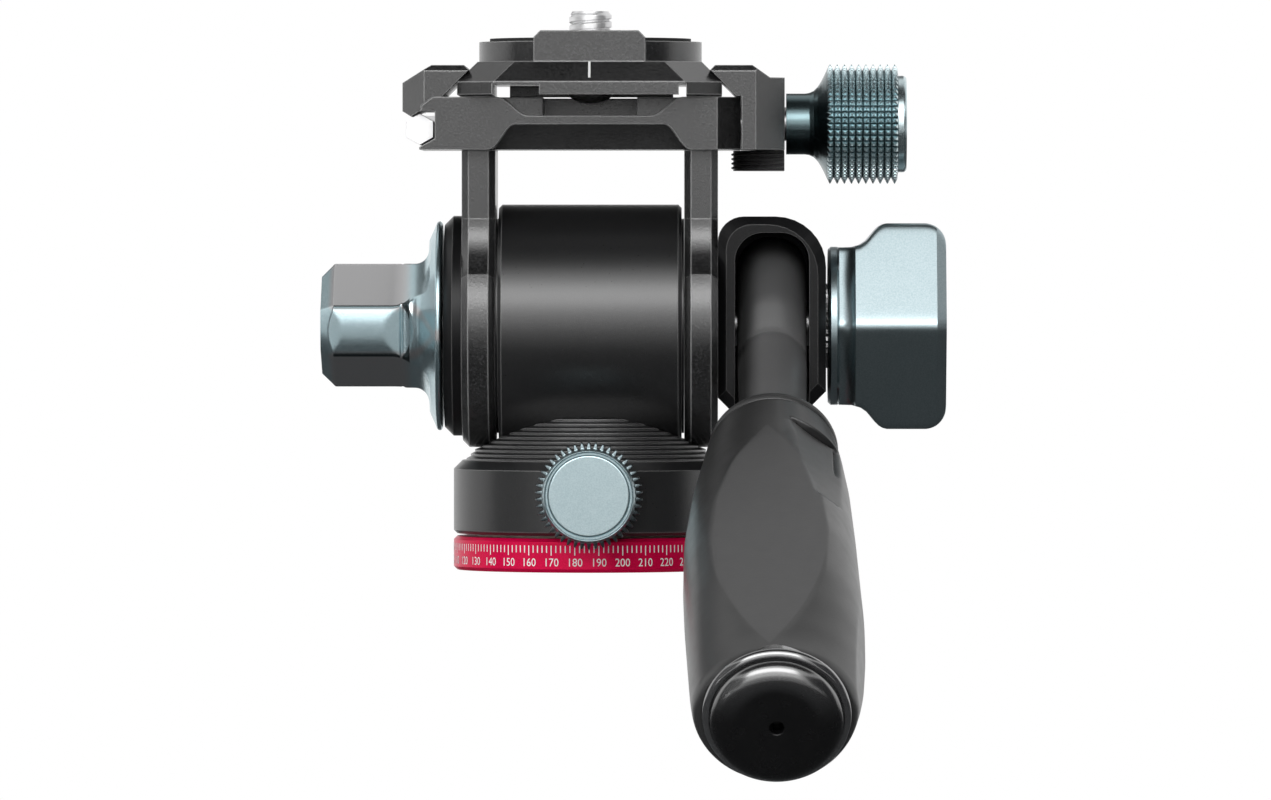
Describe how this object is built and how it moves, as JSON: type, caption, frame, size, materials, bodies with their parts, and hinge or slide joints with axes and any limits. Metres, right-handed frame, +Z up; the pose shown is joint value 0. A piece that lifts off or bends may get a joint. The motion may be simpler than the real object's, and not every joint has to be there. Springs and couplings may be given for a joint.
{
  "type": "fluid video head",
  "caption": "Compact two-axis tripod head: pan base with degree ring, damped tilt barrel in a yoke, dovetail plate clamp and an adjustable handle with a soft grip.",
  "frame": {"origin": "mouth of the tripod thread, at the bottom centre of the base", "axes": "+Z up, tilt axis along X, the handle reaches towards -Y and the lens looks towards +Y"},
  "size_m": [0.093, 0.1404, 0.1104],
  "materials": {
    "black_anodised": "fine sandblasted black anodised aluminium",
    "steel_blue": "fine sandblasted steel-blue anodised aluminium",
    "crimson": "turned and anodised crimson, white engraved scale",
    "steel": "turned and ground steel",
    "bright_steel": "bright plated steel",
    "bronze": "sintered bronze",
    "slip_plastic": "slippery bearing plastic",
    "soft_grip": "soft-touch moulded grip",
    "gloss_cap": "gloss black moulding",
    "rubber": "dotted rubber"
  },
  "bodies": {
    "base": {"base_plate": "black_anodised", "scale_ring": "crimson", "thrust_washer": "slip_plastic"},
    "pan": {"pan_body": "black_anodised", "pan_retainers": "steel", "brake_shoe": "slip_plastic", "tilt_barrel": "black_anodised", "barrel_screws": "steel", "tilt_bushes": "bronze"},
    "pan_lock": {"pan_knob": "steel_blue", "pan_lock_stud": "steel"},
    "yoke": {"left_cheek": "black_anodised", "right_cheek": "black_anodised", "tilt_axle": "steel", "drag_cover": "black_anodised", "cover_screws": "steel", "handle_block": "black_anodised", "block_screws": "steel", "clamp_body": "black_anodised", "arm_screws": "steel", "fixed_jaw": "black_anodised", "jaw_dowels": "steel", "guide_pins": "steel"},
    "tilt_lock": {"tilt_knob": "steel_blue", "tilt_lock_stud": "steel"},
    "handle": {"handle_rod": "black_anodised", "grip_collar": "soft_grip", "grip": "soft_grip", "cap_ring": "soft_grip", "end_cap": "gloss_cap"},
    "handle_lock": {"handle_knob": "steel_blue", "handle_lock_screw": "steel", "serrated_washer": "steel"},
    "jaw": {"moving_jaw": "black_anodised", "catch_springs": "steel"},
    "catch": {"safety_catch": "black_anodised"},
    "clamp_lock": {"clamp_knob": "steel_blue", "clamp_screw": "steel"},
    "plate": {"quick_plate": "black_anodised", "rubber_pads": "rubber"},
    "camera_screw": {"camera_screw": "bright_steel"},
    "key": {"hex_key": "bright_steel"}
  },
  "joints": [
    {"name": "pan_turn", "type": "hinge", "parent": "base", "child": "pan", "pos_m": [0, 0, 0], "axis": [0, 0, 1], "continuous": true},
    {"name": "pan_knob_turn", "type": "hinge", "parent": "pan", "child": "pan_lock", "pos_m": [0, -0.0247, 0.0115], "axis": [0, -1, 0], "range_deg": [0, 270]},
    {"name": "tilt", "type": "hinge", "parent": "pan", "child": "yoke", "pos_m": [0, 0, 0.0363], "axis": [1, 0, 0], "range_deg": [-80, 90]},
    {"name": "tilt_knob_turn", "type": "hinge", "parent": "yoke", "child": "tilt_lock", "pos_m": [-0.03, 0, 0.0363], "axis": [-1, 0, 0], "range_deg": [0, 270]},
    {"name": "handle_swing", "type": "hinge", "parent": "yoke", "child": "handle", "pos_m": [0.02702, 0, 0.0363], "axis": [1, 0, 0], "range_deg": [-53, 64]},
    {"name": "handle_knob_turn", "type": "hinge", "parent": "yoke", "child": "handle_lock", "pos_m": [0.045, 0, 0.0363], "axis": [1, 0, 0], "range_deg": [0, 270]},
    {"name": "jaw_slide", "type": "slide", "parent": "yoke", "child": "jaw", "axis": [1, 0, 0], "range_m": [0, 0.0041]},
    {"name": "clamp_knob_turn", "type": "hinge", "parent": "jaw", "child": "clamp_lock", "pos_m": [0.04, 0, 0.0664], "axis": [1, 0, 0], "range_deg": [0, 720]},
    {"name": "catch_pull", "type": "slide", "parent": "jaw", "child": "catch", "axis": [0, 0, -1], "range_m": [0, 0.0018], "stiffness_N_per_m": 300},
    {"name": "plate_slide", "type": "slide", "parent": "yoke", "child": "plate", "axis": [0, 1, 0], "range_m": [-0.008, 0.003]},
    {"name": "camera_screw_turn", "type": "hinge", "parent": "plate", "child": "camera_screw", "pos_m": [0, 0, 0.075], "axis": [0, 0, 1], "continuous": true},
    {"name": "key_pull", "type": "slide", "parent": "yoke", "child": "key", "axis": [-1, 0, 0], "range_m": [0, 0.012]}
  ],
  "couplings": [
    {"joint": "jaw_slide", "follows": "clamp_knob_turn", "m_per_rad": 0.00031831}
  ]
}
